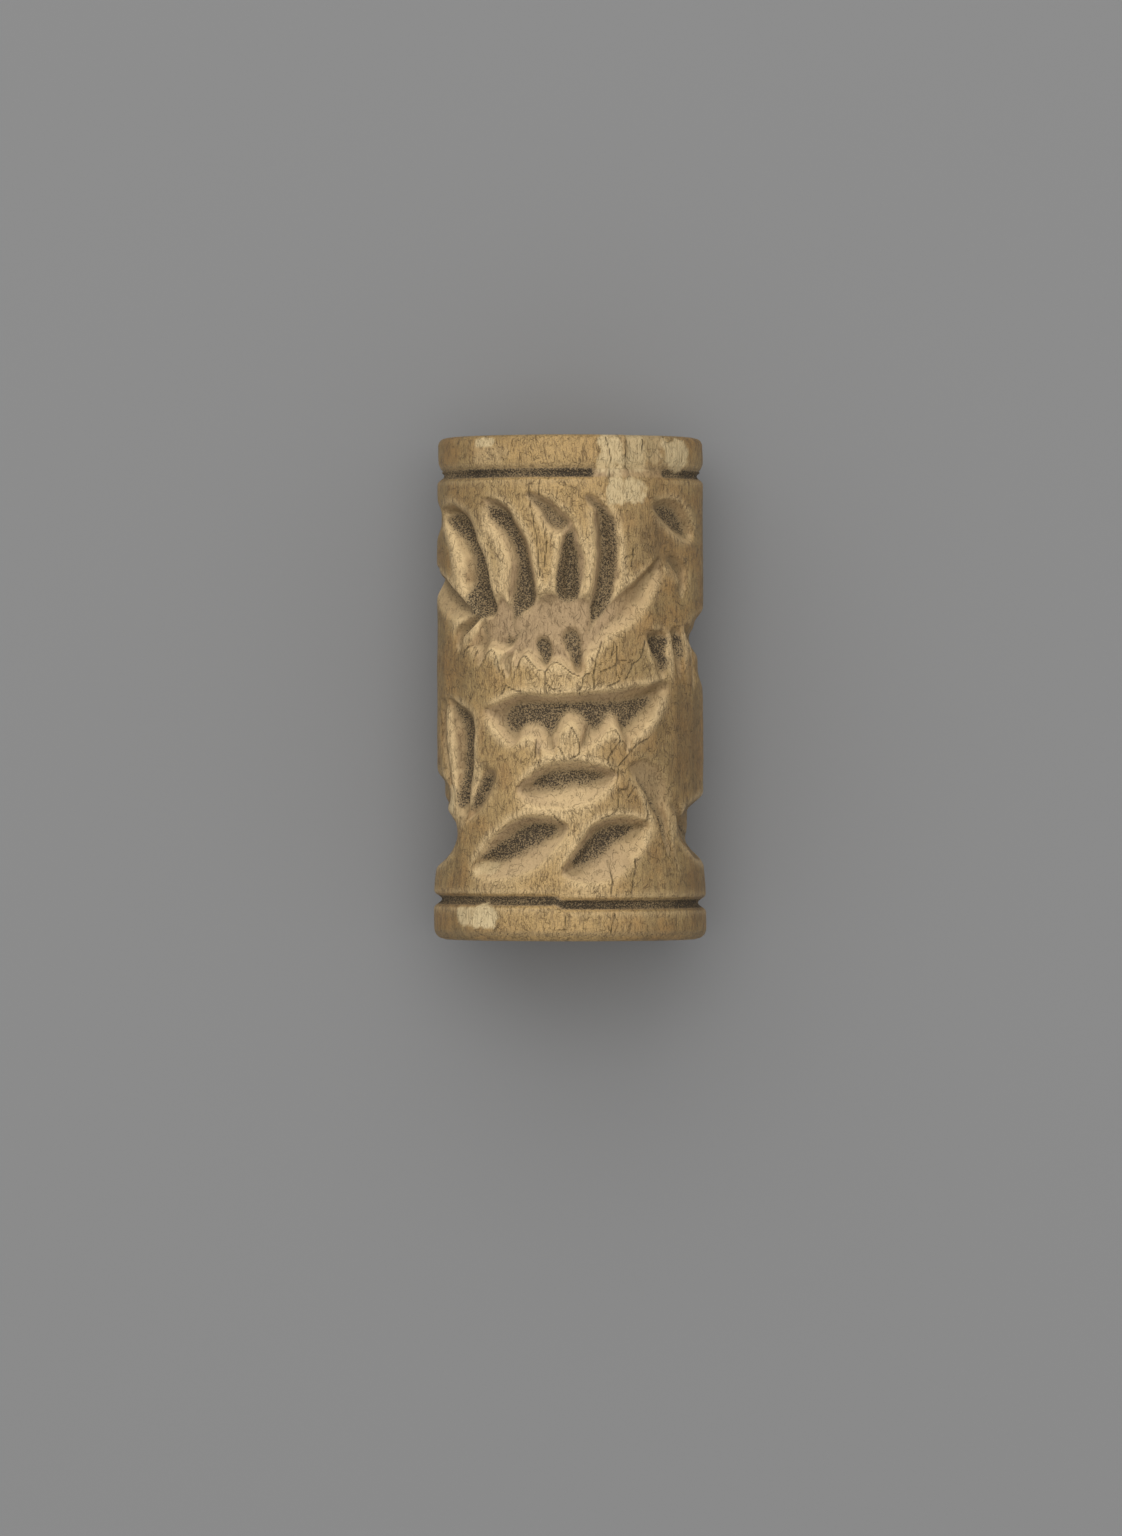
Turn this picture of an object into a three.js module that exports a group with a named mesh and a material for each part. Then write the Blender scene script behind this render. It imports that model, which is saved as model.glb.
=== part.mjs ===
// A carved cylinder seal of old ivory, lying on its side with its string hole along Y.
// Millimetres, +Z up, with the head of the carving towards +Y.
// The origin is on the surface that the seal lies on, under the middle of its length.
// It is one piece: a turned blank with a ringed rim at each end, carved all round between the rims.
import * as THREE from 'three';

// The blank
const LENGTH = 29;
const BODY_RADIUS = 7.7;
const HEAD_RIM_RADIUS = 7.66;
const FOOT_RIM_RADIUS = 7.88;
const HEAD_RIM_LENGTH = 1.9;
const FOOT_RIM_LENGTH = 1.85;
const RIM_ROUNDING = 0.45;
const FOOT_FLARE_LENGTH = 2.6;
const HOLE_RADIUS = 3;
const HOLE_MOUTH = 0.4;
const RESTING_FLAT_DEPTH = 0.11;

// The ring cut between each rim and the carved field
const HEAD_RING_WIDTH = 0.6;
const HEAD_RING_DEPTH = 0.42;
const FOOT_RING_WIDTH = 0.7;
const FOOT_RING_DEPTH = 0.52;

// How finely the surface is divided. Crowding draws the columns together at the front,
// where the carving is finest.
const COLUMNS = 76;
const FRONT_CROWDING = 0.45;
const ROUNDING_ROWS = 3;
const RING_ROWS = 3;
const FIELD_ROWS = 45;
const CUT_STEPS = 14;

// What follows from these sizes. Heights run along the seal from its foot end.
const FIELD_BOTTOM = FOOT_RIM_LENGTH + FOOT_RING_WIDTH;
const FIELD_TOP = LENGTH - HEAD_RIM_LENGTH - HEAD_RING_WIDTH;
const AXIS_ABOVE_SURFACE = Math.min(HEAD_RIM_RADIUS, FOOT_RIM_RADIUS) - RESTING_FLAT_DEPTH;

// The carving is drawn on a field 24 units high, each close to a millimetre, and stretched to
// the real field. A place is [degrees round from the top line, units up from the foot ring].
const DRAWN_FIELD = 24;
const unit = (FIELD_TOP - FIELD_BOTTOM) / DRAWN_FIELD;

// A cut is one scooping stroke of the graver, with a curved floor line and pointed ends. Its walls
// are how far it opens to the left and right of the stroke, and its swell is where it is widest.
function cut(from, through, to, walls, depth, swell = 0.5) {
  return { from, through, to, walls, depth, swell };
}

// A hollow is a smooth dip: its middle, its half size and its depth.
// Its edge is the outer share of that size that slopes.
function hollow(middle, half, depth, edge = 0.6) {
  return { middle, half, depth, edge };
}

// The fan of fronds over the crescent
const fanCuts = [
  cut([-78, 22.3], [-51, 19.8], [-39.5, 15.9], [0.9, 1.2], 1.15, 0.62),
  cut([-43, 22.7], [-25, 20.2], [-20.5, 15.9], [0.95, 0.85], 1.1, 0.64),
  cut([-19.5, 23.1], [-9, 22.1], [0, 21], [0.45, 0.55], 0.65),
  cut([0.5, 21.6], [-0.5, 19], [-1, 16.4], [0.65, 0.65], 1.05, 0.6),
  cut([6, 23.2], [17.4, 20.4], [10, 15.4], [0.6, 0.95], 0.98, 0.58),
];

// The crescent, with a horn rising on each side
const crescentCuts = [
  cut([-50, 16], [-6, 15.4], [45, 19.3], [1.7, 1.8], 0.62),
  cut([-100, 19], [-66, 17.9], [-44, 16], [0.5, 1.6], 0.8),
  cut([45.5, 19.5], [51.5, 18.6], [58, 17.2], [0.55, 0.4], 0.55),
];

// The notches and pits that leave the crescent's lower edge as a zigzag
const crescentTeeth = [
  cut([-43, 16.2], [-48.5, 15.2], [-56, 14], [0.5, 0.45], 0.75, 0.35),
  cut([-42, 15.9], [-37.6, 15.4], [-39, 14.1], [0.4, 0.4], 0.8, 0.4),
  cut([-22, 15.4], [-26, 14.4], [-28, 12.6], [0.4, 0.4], 0.8, 0.4),
  cut([-13, 15.4], [-12, 14.3], [-10.6, 12.9], [0.7, 0.7], 1.1, 0.4),
  cut([-0.5, 15.8], [1.5, 14.5], [4.5, 12.8], [0.7, 0.7], 1, 0.4),
];

// The long mouth across the middle, and the notches between the teeth under it
const mouthCuts = [
  cut([-43, 10.8], [-3, 10.6], [46, 12.1], [0.9, 1.2], 0.9),
  cut([-16, 10.7], [-23, 10], [-32, 9.4], [0.5, 0.6], 0.7),
  cut([-10, 10.8], [-8.6, 9.8], [-6.5, 8], [0.55, 0.55], 0.8, 0.35),
  cut([10, 10.8], [8.4, 9.8], [5, 8.2], [0.55, 0.6], 0.8, 0.38),
  cut([21, 10.6], [24.4, 9.4], [25.4, 8.2], [0.4, 0.4], 0.6, 0.35),
];

// The leaf-shaped cuts near the foot
const leafCuts = [
  cut([-26, 6], [-2, 6.7], [22, 6.9], [1.05, 1.6], 1),
  cut([-47.5, 1.7], [-23, 3], [0, 4.1], [1.25, 1.35], 1),
  cut([-6, 1.2], [12.5, 3], [38, 4.3], [1.2, 1.65], 1.1),
];

// The eye at the upper right, and the claws on the right and at the lower left
const eyeAndClaws = [
  cut([34, 22.5], [51, 21.8], [70, 20.9], [0.7, 0.9], 0.75),
  cut([36.5, 15.6], [40.5, 14.2], [45.5, 12.5], [0.55, 0.6], 0.7, 0.42),
  cut([51, 15.8], [53.4, 14.4], [56.5, 12.4], [0.5, 0.5], 0.6, 0.42),
  cut([60, 15.6], [64, 14.2], [67, 11.8], [0.5, 0.5], 0.6, 0.4),
  cut([-63, 11.3], [-48, 8.5], [-51.5, 4.4], [1.6, 0.4], 0.8),
  cut([-70, 11.4], [-66.5, 9.2], [-61, 5.2], [0.45, 0.45], 0.5, 0.4),
  cut([-34, 7.2], [-41, 5.8], [-53, 4.1], [0.5, 0.5], 0.65, 0.42),
  cut([25, 7.2], [38, 6.8], [51, 6.1], [0.6, 1], 0.4),
  cut([35.5, 6.3], [40.5, 4.4], [52, 0.8], [0.4, 0.7], 0.6, 0.42),
];

// The waist above the foot on each side, and the shallower dips at the sides
const sideHollows = [
  hollow([-90, 3.6], [36, 2.1], 1.15),
  hollow([-90, 5.9], [30, 1.4], 0.45),
  hollow([88, 3.9], [38, 2.1], 0.95, 0.5),
  hollow([90, 15.2], [32, 1.5], 0.5),
  hollow([90, 13.9], [30, 2], 0.3),
  hollow([-95, 21.6], [22, 1.1], 0.2),
];

const frontCuts = [
  ...fanCuts,
  ...crescentCuts,
  ...crescentTeeth,
  ...mouthCuts,
  ...leafCuts,
  ...eyeAndClaws,
];

// The far side repeats the figure in mirror image, plainer: only the deeper cuts, and shallower.
const BACK_LEAST_DEPTH = 0.5;
const BACK_DEPTH_SHARE = 0.8;

function mirrored([degrees, height]) {
  return [180 - degrees, height];
}

function onTheBack(c) {
  const [left, right] = c.walls;
  const depth = c.depth * BACK_DEPTH_SHARE;
  return cut(mirrored(c.from), mirrored(c.through), mirrored(c.to), [right, left], depth, c.swell);
}

const backCuts = frontCuts.filter((c) => c.depth >= BACK_LEAST_DEPTH).map(onTheBack);

function wrapDegrees(degrees) {
  return degrees - 360 * Math.round(degrees / 360);
}

function smooth(t) {
  const x = THREE.MathUtils.clamp(t, 0, 1);
  return x * x * (3 - 2 * x);
}

// The unrolled place of a point, in millimetres, with the cut's middle on the zero line
function unrolled([degrees, height], middleDegrees) {
  const round = THREE.MathUtils.degToRad(wrapDegrees(degrees - middleDegrees)) * BODY_RADIUS;
  return new THREE.Vector2(round, height * unit);
}

// The floor line of a cut: a curve that passes through its middle place
function floorLine(c) {
  const from = unrolled(c.from, c.through[0]);
  const through = unrolled(c.through, c.through[0]);
  const to = unrolled(c.to, c.through[0]);
  const pull = through.clone().multiplyScalar(2).sub(from.clone().add(to).multiplyScalar(0.5));
  return new THREE.QuadraticBezierCurve(from, pull, to).getPoints(CUT_STEPS);
}

const WALL_SHARPNESS = 0.6; // 1 has straight walls, 0 has walls that ease into floor and edge
const END_FULLNESS = 0.7; // lower is blunter
const FLOOR_SHARE = 0.2; // how much of the way out from the floor line is level

// How open a cut is along its length, 0 at its ends and 1 at its swell
function opening(along, swell) {
  const bent = Math.pow(along, Math.log(0.5) / Math.log(swell));
  return Math.pow(Math.max(0, Math.sin(Math.PI * bent)), END_FULLNESS);
}

// The depth of one cut at an unrolled place
function cutDepth(c, place) {
  if (!c.box.containsPoint(place)) return 0;
  const { line } = c;
  let nearest = Infinity;
  let along = 0;
  let side = 0;
  for (let i = 0; i < CUT_STEPS; i += 1) {
    const run = line[i + 1].clone().sub(line[i]);
    const off = place.clone().sub(line[i]);
    const t = THREE.MathUtils.clamp(off.dot(run) / run.lengthSq(), 0, 1);
    const away = off.clone().addScaledVector(run, -t).length();
    if (away < nearest) {
      nearest = away;
      along = (i + t) / CUT_STEPS;
      side = run.cross(off);
    }
  }
  const open = opening(along, c.swell);
  const wall = c.walls[side > 0 ? 0 : 1] * open;
  if (nearest >= wall) return 0;
  const up = Math.min(1, (1 - nearest / wall) / (1 - FLOOR_SHARE));
  return c.depth * open * (WALL_SHARPNESS * up + (1 - WALL_SHARPNESS) * smooth(up));
}

function hollowDepth(h, degrees, height) {
  const round = wrapDegrees(degrees - h.middle[0]) / h.half[0];
  const along = (height - h.middle[1]) / h.half[1];
  const out = Math.hypot(round, along);
  return h.depth * smooth((1 - out) / h.edge);
}

// A cut with its floor line and the box that it stays within
function laidOut(c) {
  const line = floorLine(c);
  const box = new THREE.Box2().setFromPoints(line).expandByScalar(Math.max(...c.walls));
  return { ...c, line, box };
}

const carvedCuts = [...frontCuts, ...backCuts].map(laidOut);

// How far the carving goes under the blank at a place
function carvedDepth(degrees, height) {
  const drawnHeight = (height - FIELD_BOTTOM) / unit;
  let deepest = 0;
  for (const c of carvedCuts) {
    deepest = Math.max(deepest, cutDepth(c, unrolled([degrees, drawnHeight], c.through[0])));
  }
  const dips = sideHollows.reduce((sum, h) => sum + hollowDepth(h, degrees, drawnHeight), 0);
  return deepest + dips;
}

// The ring's depth at a height, with a rounded floor
function ringDepth(height, bottom, width, depth) {
  const across = (height - bottom) / width;
  if (across <= 0 || across >= 1) return 0;
  return depth * Math.sqrt(Math.sin(Math.PI * across));
}

// How much the corner at an end is rounded off, at a distance from that end
function cornerLoss(fromEnd) {
  if (fromEnd >= RIM_ROUNDING) return 0;
  return RIM_ROUNDING - Math.sqrt(RIM_ROUNDING ** 2 - (RIM_ROUNDING - fromEnd) ** 2);
}

// The carving's mean depth close round a place, which wears the edges a little
const EDGE_WEAR = 0.22;

function wornDepth(degrees, height) {
  const turn = THREE.MathUtils.radToDeg(EDGE_WEAR / BODY_RADIUS);
  const depths = [
    carvedDepth(degrees, height),
    carvedDepth(degrees - turn, height),
    carvedDepth(degrees + turn, height),
    carvedDepth(degrees, height - EDGE_WEAR),
    carvedDepth(degrees, height + EDGE_WEAR),
  ];
  return depths.reduce((sum, depth) => sum + depth, 0) / depths.length;
}

// The radius of the turned blank at a height, before it is carved
function blankRadius(height) {
  const loss = cornerLoss(Math.min(height, LENGTH - height));
  const footRing = ringDepth(height, FOOT_RIM_LENGTH, FOOT_RING_WIDTH, FOOT_RING_DEPTH);
  const headRing = ringDepth(height, FIELD_TOP, HEAD_RING_WIDTH, HEAD_RING_DEPTH);
  const flare = 1 - smooth((height - FIELD_BOTTOM) / FOOT_FLARE_LENGTH);
  let radius = BODY_RADIUS + (FOOT_RIM_RADIUS - BODY_RADIUS) * flare;
  if (height <= FOOT_RIM_LENGTH) radius = FOOT_RIM_RADIUS;
  if (height >= LENGTH - HEAD_RIM_LENGTH) radius = HEAD_RIM_RADIUS;
  return radius - loss - footRing - headRing;
}

function outerRadius(degrees, height) {
  const onField = height > FIELD_BOTTOM && height < FIELD_TOP;
  return blankRadius(height) - (onField ? wornDepth(degrees, height) : 0);
}

// Heights from one value to another, leaving out the first
function stepped(from, to, count) {
  return Array.from({ length: count }, (_, i) => from + ((to - from) * (i + 1)) / count);
}

// Heights round the corner at the foot end, closer together where it turns fastest
function roundedHeights() {
  return Array.from({ length: ROUNDING_ROWS }, (_, i) => {
    const turned = ((i + 1) / ROUNDING_ROWS) * (Math.PI / 2);
    return RIM_ROUNDING * (1 - Math.cos(turned));
  });
}

function rowHeights() {
  const corner = roundedHeights();
  const headCorner = corner.slice(0, -1).reverse();
  return [
    0,
    ...corner,
    FOOT_RIM_LENGTH,
    ...stepped(FOOT_RIM_LENGTH, FIELD_BOTTOM, RING_ROWS),
    ...stepped(FIELD_BOTTOM, FIELD_TOP, FIELD_ROWS),
    ...stepped(FIELD_TOP, LENGTH - HEAD_RIM_LENGTH, RING_ROWS),
    LENGTH - RIM_ROUNDING,
    ...headCorner.map((height) => LENGTH - height),
    LENGTH,
  ];
}

// The seal's whole skin as closed loops: up the outside, in over the head end,
// down the hole and out over the foot end
function skinLoops() {
  const outside = rowHeights().map((height) => ({
    height,
    radius: (degrees) => outerRadius(degrees, height),
  }));
  const holeProfile = [
    [LENGTH, HOLE_RADIUS + HOLE_MOUTH],
    [LENGTH - HOLE_MOUTH, HOLE_RADIUS],
    [HOLE_MOUTH, HOLE_RADIUS],
    [0, HOLE_RADIUS + HOLE_MOUTH],
  ];
  const inside = holeProfile.map(([height, radius]) => ({ height, radius: () => radius }));
  return [...outside, ...inside];
}

// One point of the skin. The underside is worn flat where the blank would reach below the surface.
function skinPoint(degrees, height, radius) {
  const turned = THREE.MathUtils.degToRad(degrees);
  const z = AXIS_ABOVE_SURFACE + radius * Math.cos(turned);
  return [radius * Math.sin(turned), height - LENGTH / 2, Math.max(0, z)];
}

function columnDegrees(column) {
  const turn = (2 * Math.PI * column) / COLUMNS;
  return THREE.MathUtils.radToDeg(turn - FRONT_CROWDING * Math.sin(turn));
}

function sealGeometry() {
  const loops = skinLoops();
  const positions = [];
  const radii = [];
  for (const loop of loops) {
    for (let column = 0; column < COLUMNS; column += 1) {
      const degrees = columnDegrees(column);
      const radius = loop.radius(degrees);
      radii.push(radius);
      positions.push(...skinPoint(degrees, loop.height, radius));
    }
  }
  const faces = [];
  for (let row = 0; row < loops.length; row += 1) {
    const nextRow = (row + 1) % loops.length;
    for (let column = 0; column < COLUMNS; column += 1) {
      const nextColumn = (column + 1) % COLUMNS;
      const a = row * COLUMNS + column;
      const b = row * COLUMNS + nextColumn;
      const c = nextRow * COLUMNS + nextColumn;
      const d = nextRow * COLUMNS + column;
      // Each square is split along its more level diagonal, so that edges follow the carving.
      const levelAC = Math.abs(radii[a] - radii[c]) <= Math.abs(radii[b] - radii[d]);
      faces.push(...(levelAC ? [a, b, c, a, c, d] : [a, b, d, b, c, d]));
    }
  }
  const geometry = new THREE.BufferGeometry();
  geometry.setAttribute('position', new THREE.Float32BufferAttribute(positions, 3));
  geometry.setIndex(faces);
  geometry.computeVertexNormals();
  return geometry;
}

function agedIvory() {
  return new THREE.MeshStandardMaterial({ name: 'aged_ivory', color: 0xb4945f, roughness: 0.62 });
}

const cylinderSeal = new THREE.Mesh(sealGeometry(), agedIvory());
cylinderSeal.name = 'cylinder_seal';

const seal = new THREE.Group();
seal.add(cylinderSeal);

export default seal;
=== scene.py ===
"""The looks of a carved cylinder seal of old ivory, lying on its side and seen from above.

The skin is one fine mesh. It is worked out as a radius for each place round and along the seal:
the turned blank, less the graver's cuts, the hollows, the flakes and the wear.
Sizes here are millimetres, and the mesh is scaled to metres at the end.
"""
import math
from types import SimpleNamespace
import bpy
import mathutils
import numpy as np
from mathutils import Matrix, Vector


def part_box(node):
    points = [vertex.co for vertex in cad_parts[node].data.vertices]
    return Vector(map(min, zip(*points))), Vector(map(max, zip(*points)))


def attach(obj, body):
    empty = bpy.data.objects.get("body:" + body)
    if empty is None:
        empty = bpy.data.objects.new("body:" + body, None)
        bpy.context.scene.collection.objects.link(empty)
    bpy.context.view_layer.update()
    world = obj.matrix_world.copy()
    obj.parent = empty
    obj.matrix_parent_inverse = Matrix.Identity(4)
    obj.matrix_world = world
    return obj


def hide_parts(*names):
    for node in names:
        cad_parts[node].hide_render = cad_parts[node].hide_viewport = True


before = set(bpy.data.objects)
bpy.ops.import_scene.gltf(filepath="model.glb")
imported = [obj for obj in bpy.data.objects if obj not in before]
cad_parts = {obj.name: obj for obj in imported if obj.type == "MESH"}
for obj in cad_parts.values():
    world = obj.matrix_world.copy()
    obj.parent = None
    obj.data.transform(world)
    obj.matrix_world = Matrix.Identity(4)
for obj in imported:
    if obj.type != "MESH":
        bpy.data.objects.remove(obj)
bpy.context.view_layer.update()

MM = 0.001

# The blank, from the frame
seal_low, seal_high = (np.array(corner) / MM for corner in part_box("cylinder_seal"))
LENGTH = seal_high[1] - seal_low[1]
FOOT_RIM_RADIUS = (seal_high[0] - seal_low[0]) / 2
AXIS_ABOVE_SURFACE = seal_high[2] - FOOT_RIM_RADIUS

# The blank, as the solid has it
BODY_RADIUS = 7.7
HEAD_RIM_RADIUS = 7.66
HEAD_RIM_LENGTH = 1.9
FOOT_RIM_LENGTH = 1.85
RIM_ROUNDING = 0.45
FOOT_FLARE_LENGTH = 2.6
HOLE_RADIUS = 3.0
HOLE_MOUTH = 0.4
HEAD_RING_WIDTH = 0.6
HEAD_RING_DEPTH = 0.42
FOOT_RING_WIDTH = 0.7
FOOT_RING_DEPTH = 0.52
FIELD_BOTTOM = FOOT_RIM_LENGTH + FOOT_RING_WIDTH
FIELD_TOP = LENGTH - HEAD_RIM_LENGTH - HEAD_RING_WIDTH
HEAD_RIM_BOTTOM = LENGTH - HEAD_RIM_LENGTH
RIM_SLOPE = 0.5
RIM_SLOPE_DEPTH = 0.14
GIRTH = 2 * math.pi * BODY_RADIUS

# The foot's corner is worn rounder than the solid's
WORN_FOOT_ROUNDING = 0.65

# How finely the skin is divided. Crowding draws the columns together at the front.
COLUMNS = 320
FRONT_CROWDING = 0.4
CORNER_ROWS = 7
RIM_ROWS = 8
RING_ROWS = 12
FIELD_ROWS = 212
RING_MARGIN = 0.3
END_LOOPS = 6
MOUTH_LOOPS = 3
HOLE_LOOPS = 6

# The carving is drawn on a field 24 units high, each close to a millimetre.
# A place is (degrees round from the top line, units up from the foot ring).
DRAWN_FIELD = 24
UNIT = (FIELD_TOP - FIELD_BOTTOM) / DRAWN_FIELD
# The sine of the angle past which a sunk place is not moved further round
FURTHEST_ROUND = 0.95


def seen_from_above(places, depth):
    """Where a sunk place lies that is drawn as it looks from straight above: further round the
    seal than a raised place that looks the same."""
    sunk = []
    for degrees, height in places:
        sine = math.sin(math.radians(degrees)) * BODY_RADIUS / (BODY_RADIUS - depth)
        sine = min(FURTHEST_ROUND, max(-FURTHEST_ROUND, sine))
        sunk.append((math.degrees(math.asin(sine)), height))
    return sunk


def recess(depth, dirt, rim, bed, bulge=0.0, seen_depth=0.45):
    """A scooped place: its walls run down from the rim to the bed. Dirt is how much lies there.
    A bulge of 1 rounds its walls over. The seen depth is how deep the bed's edge is taken to
    lie, as a share of the depth."""
    bed = seen_from_above(bed, seen_depth * depth)
    return {"depth": depth, "dirt": dirt, "rim": rim, "bed": bed, "bulge": bulge}


def cut(start, through, end, walls, depth, swell=0.5, dirt=0.6):
    """One stroke of the graver. Its walls are how far it opens to the left and the right of
    the stroke, and its swell is where along it is widest."""
    line = [start, *seen_from_above([through], depth), end]
    return {"line": line, "walls": walls, "depth": depth, "swell": swell, "dirt": dirt}


# The fan of fronds: the deep scoops between them
FAN = [
    recess(
        1.15, 1.0,
        [(-78, 22.4), (-64, 22.7), (-54, 22.5), (-47, 21.8), (-42, 20.6), (-38.4, 19.4),
         (-35.4, 18), (-33, 16.6), (-34.4, 15.8), (-39, 15.5), (-45, 15.8), (-50, 16.5),
         (-55, 17.4), (-58, 18.4), (-59.5, 19.4), (-63, 20.4), (-69, 21.3), (-75, 22)],
        [(-59, 21.9), (-53, 21.9), (-49, 21.3), (-45, 20.4), (-40.6, 19.4), (-37.4, 18.3),
         (-35.4, 17.2), (-34.6, 16.4), (-38, 16), (-43, 16.3), (-44.6, 17), (-43.4, 18),
         (-42.6, 18.9), (-44.4, 19.8), (-48, 20.6), (-54, 21.3)],
        1.0, 0.8,
    ),
    recess(
        1.1, 1.0,
        [(-42, 22.9), (-35, 22.9), (-27, 22.4), (-21.5, 21.3), (-17.5, 20), (-14.8, 18.6),
         (-13.6, 17.1), (-16, 16.4), (-20.5, 16), (-24.5, 15.6), (-28, 16.3), (-31, 17.3),
         (-30, 18.3), (-30.5, 19.3), (-33.5, 20.4), (-38.5, 21.8)],
        [(-37, 22.5), (-31, 22.2), (-26, 21.7), (-22.4, 20.7), (-19.2, 19.8), (-16.8, 18.8),
         (-15.4, 17.6), (-15.8, 16.9), (-19.5, 16.6), (-24, 15.9), (-23.6, 16.9), (-22, 17.8),
         (-21.4, 18.9), (-22.8, 19.9), (-26, 20.8), (-31, 21.6)],
        1.0, 0.8,
    ),
    recess(
        0.65, 0.8,
        [(-20, 23.2), (-14, 23.1), (-8, 22.75), (-3, 22.1), (1, 21.5), (0, 21.1), (-3.5, 20.7),
         (-8, 20.9), (-12, 21.6), (-17, 22.5)],
        [(-17.5, 22.95), (-12, 22.6), (-8, 22.2), (-4.4, 21.8), (-1.6, 21.3), (-4.6, 21.2),
         (-8.4, 21.5), (-13, 22.3)],
        0.6, 0.8,
    ),
    recess(
        1.05, 1.0,
        [(-2, 21.4), (1.4, 21.3), (4, 20.7), (6.3, 19.6), (6.8, 18.3), (5.8, 17.1), (2, 16.6),
         (-3.8, 16.6), (-6.6, 17.4), (-6.4, 18.9), (-4.8, 20.2)],
        [(-0.6, 20.9), (1.4, 20.7), (1.8, 19.7), (2.8, 18.8), (3.9, 17.9), (3, 17.2), (-1, 17),
         (-4.6, 17.2), (-5.3, 18.2), (-4.4, 19.2), (-2.2, 20.1)],
        0.6, 0.8,
    ),
    recess(
        0.98, 0.95,
        [(5.4, 23), (9, 23.1), (13.5, 22.7), (17.5, 22.2), (20.6, 21.6), (21.8, 20.8), (22.8, 19.7),
         (22.8, 18.3), (20.5, 17.1), (16.5, 16.2), (12, 15.4), (7.6, 15.6), (7.6, 17), (9, 18.4),
         (9.6, 20), (10.4, 21.4), (9.6, 22.1), (6.6, 22.5)],
        [(8, 22.75), (12, 22.35), (15.6, 21.9), (18.6, 21.2), (19.2, 20.2), (18.8, 19.1),
         (17.4, 18), (15.6, 17), (12.4, 16.2), (9, 15.9), (9.4, 16.8), (11.4, 17.7), (13.6, 18.6),
         (14.4, 19.6), (14.2, 20.7), (14.6, 21.6), (12, 22.2)],
        0.6, 0.8,
    ),
]

# The crescent under the fan, with a horn rising on each side, and the zigzag of its lower edge
CRESCENT = [
    recess(
        0.62, 0.12,
        [(-41, 16.4), (-37, 17), (-31, 17.5), (-27.5, 17), (-20, 17), (-13, 17.4), (-7, 17.5),
         (0, 17.3), (6, 17.4), (14, 17), (20, 17.4), (29, 18.1), (36, 18.9), (41.5, 19.6),
         (44.5, 19.2), (40, 17.9), (35, 16.8), (29, 15.9), (22, 15.3), (16, 14.9), (13.6, 14.3),
         (10, 14), (7.4, 13.6), (5.4, 12.8), (3, 12.6), (0, 12.85), (-2.5, 13.1), (-5.5, 13.35),
         (-8.4, 13.2), (-10.6, 12.8), (-13, 13), (-16, 13.2), (-18.2, 13.55), (-20.4, 13.75),
         (-22.8, 13.5), (-24.6, 12.9), (-27, 13.7), (-33, 14.1), (-37, 14.3), (-41, 13.4),
         (-45, 13.1), (-47, 14.1), (-51, 14.2), (-47, 15.2)],
        [(-38, 16.4), (-33, 16.9), (-20, 16.6), (-5, 17), (8, 16.8), (18, 17), (28, 17.8),
         (38, 18.8), (30, 17.3), (22, 16.3), (15, 15.5), (10, 14.9), (6.6, 14.3), (4.6, 13.5),
         (3, 13.1), (0, 13.3), (-3, 13.55), (-5.6, 13.8), (-8.2, 13.65), (-10.6, 13.3), (-13, 13.5),
         (-16, 13.7), (-18.4, 14), (-20.6, 14.2), (-23, 14), (-25, 13.5), (-27, 14.2), (-32, 14.6),
         (-37, 14.9), (-41.5, 14.6), (-43, 15.4)],
    ),
    cut((-100, 19), (-66, 17.9), (-44, 16), (0.5, 1.6), 0.8, 0.5, 0.7),
    cut((-43, 16.2), (-48.5, 15.2), (-56, 14), (0.5, 0.45), 0.75, 0.35, 0.8),
    cut((-42, 15.9), (-37.6, 15.4), (-39, 14.1), (0.35, 0.35), 0.8, 0.4, 0.8),
    cut((-29.5, 15.4), (-26, 14.5), (-22, 15.4), (0.35, 0.35), 0.95, 0.5, 0.9),
    cut((-28, 12.5), (-26.3, 13.6), (-23.5, 14.7), (0.3, 0.3), 0.75, 0.5, 0.0),
]

# Small pits sunk in the floor of the crescent
PITS = [
    recess(
        0.34, 1.0,
        [(-17.5, 14.5), (-14, 14.95), (-10, 14.8), (-7.2, 14.3), (-8.4, 13.6), (-10.6, 13.1),
         (-13.4, 13.5)],
        [(-16.6, 14.45), (-13, 14.8), (-8.6, 14.5), (-8.8, 13.8), (-10.6, 13.3), (-13.6, 13.75)],
    ),
    recess(
        0.32, 0.9,
        [(-4.5, 14.9), (-1, 15.4), (4.4, 15.3), (6, 14.6), (5.6, 13.6), (4.4, 12.9), (2, 12.95),
         (0, 13.6), (-2.6, 14.2)],
        [(-3.6, 14.8), (0, 15.2), (4.1, 15.1), (5.3, 14.4), (4.9, 13.6), (3, 13.15), (1.2, 13.6),
         (-1.4, 14.3)],
    ),
    cut((-25, 17.4), (-27, 16), (-27, 15), (0.35, 0.35), 0.25, 0.3, 0.7),
    cut((12, 17), (10.5, 15.9), (8, 14.8), (0.35, 0.35), 0.25, 0.3, 0.7),
]

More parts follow.
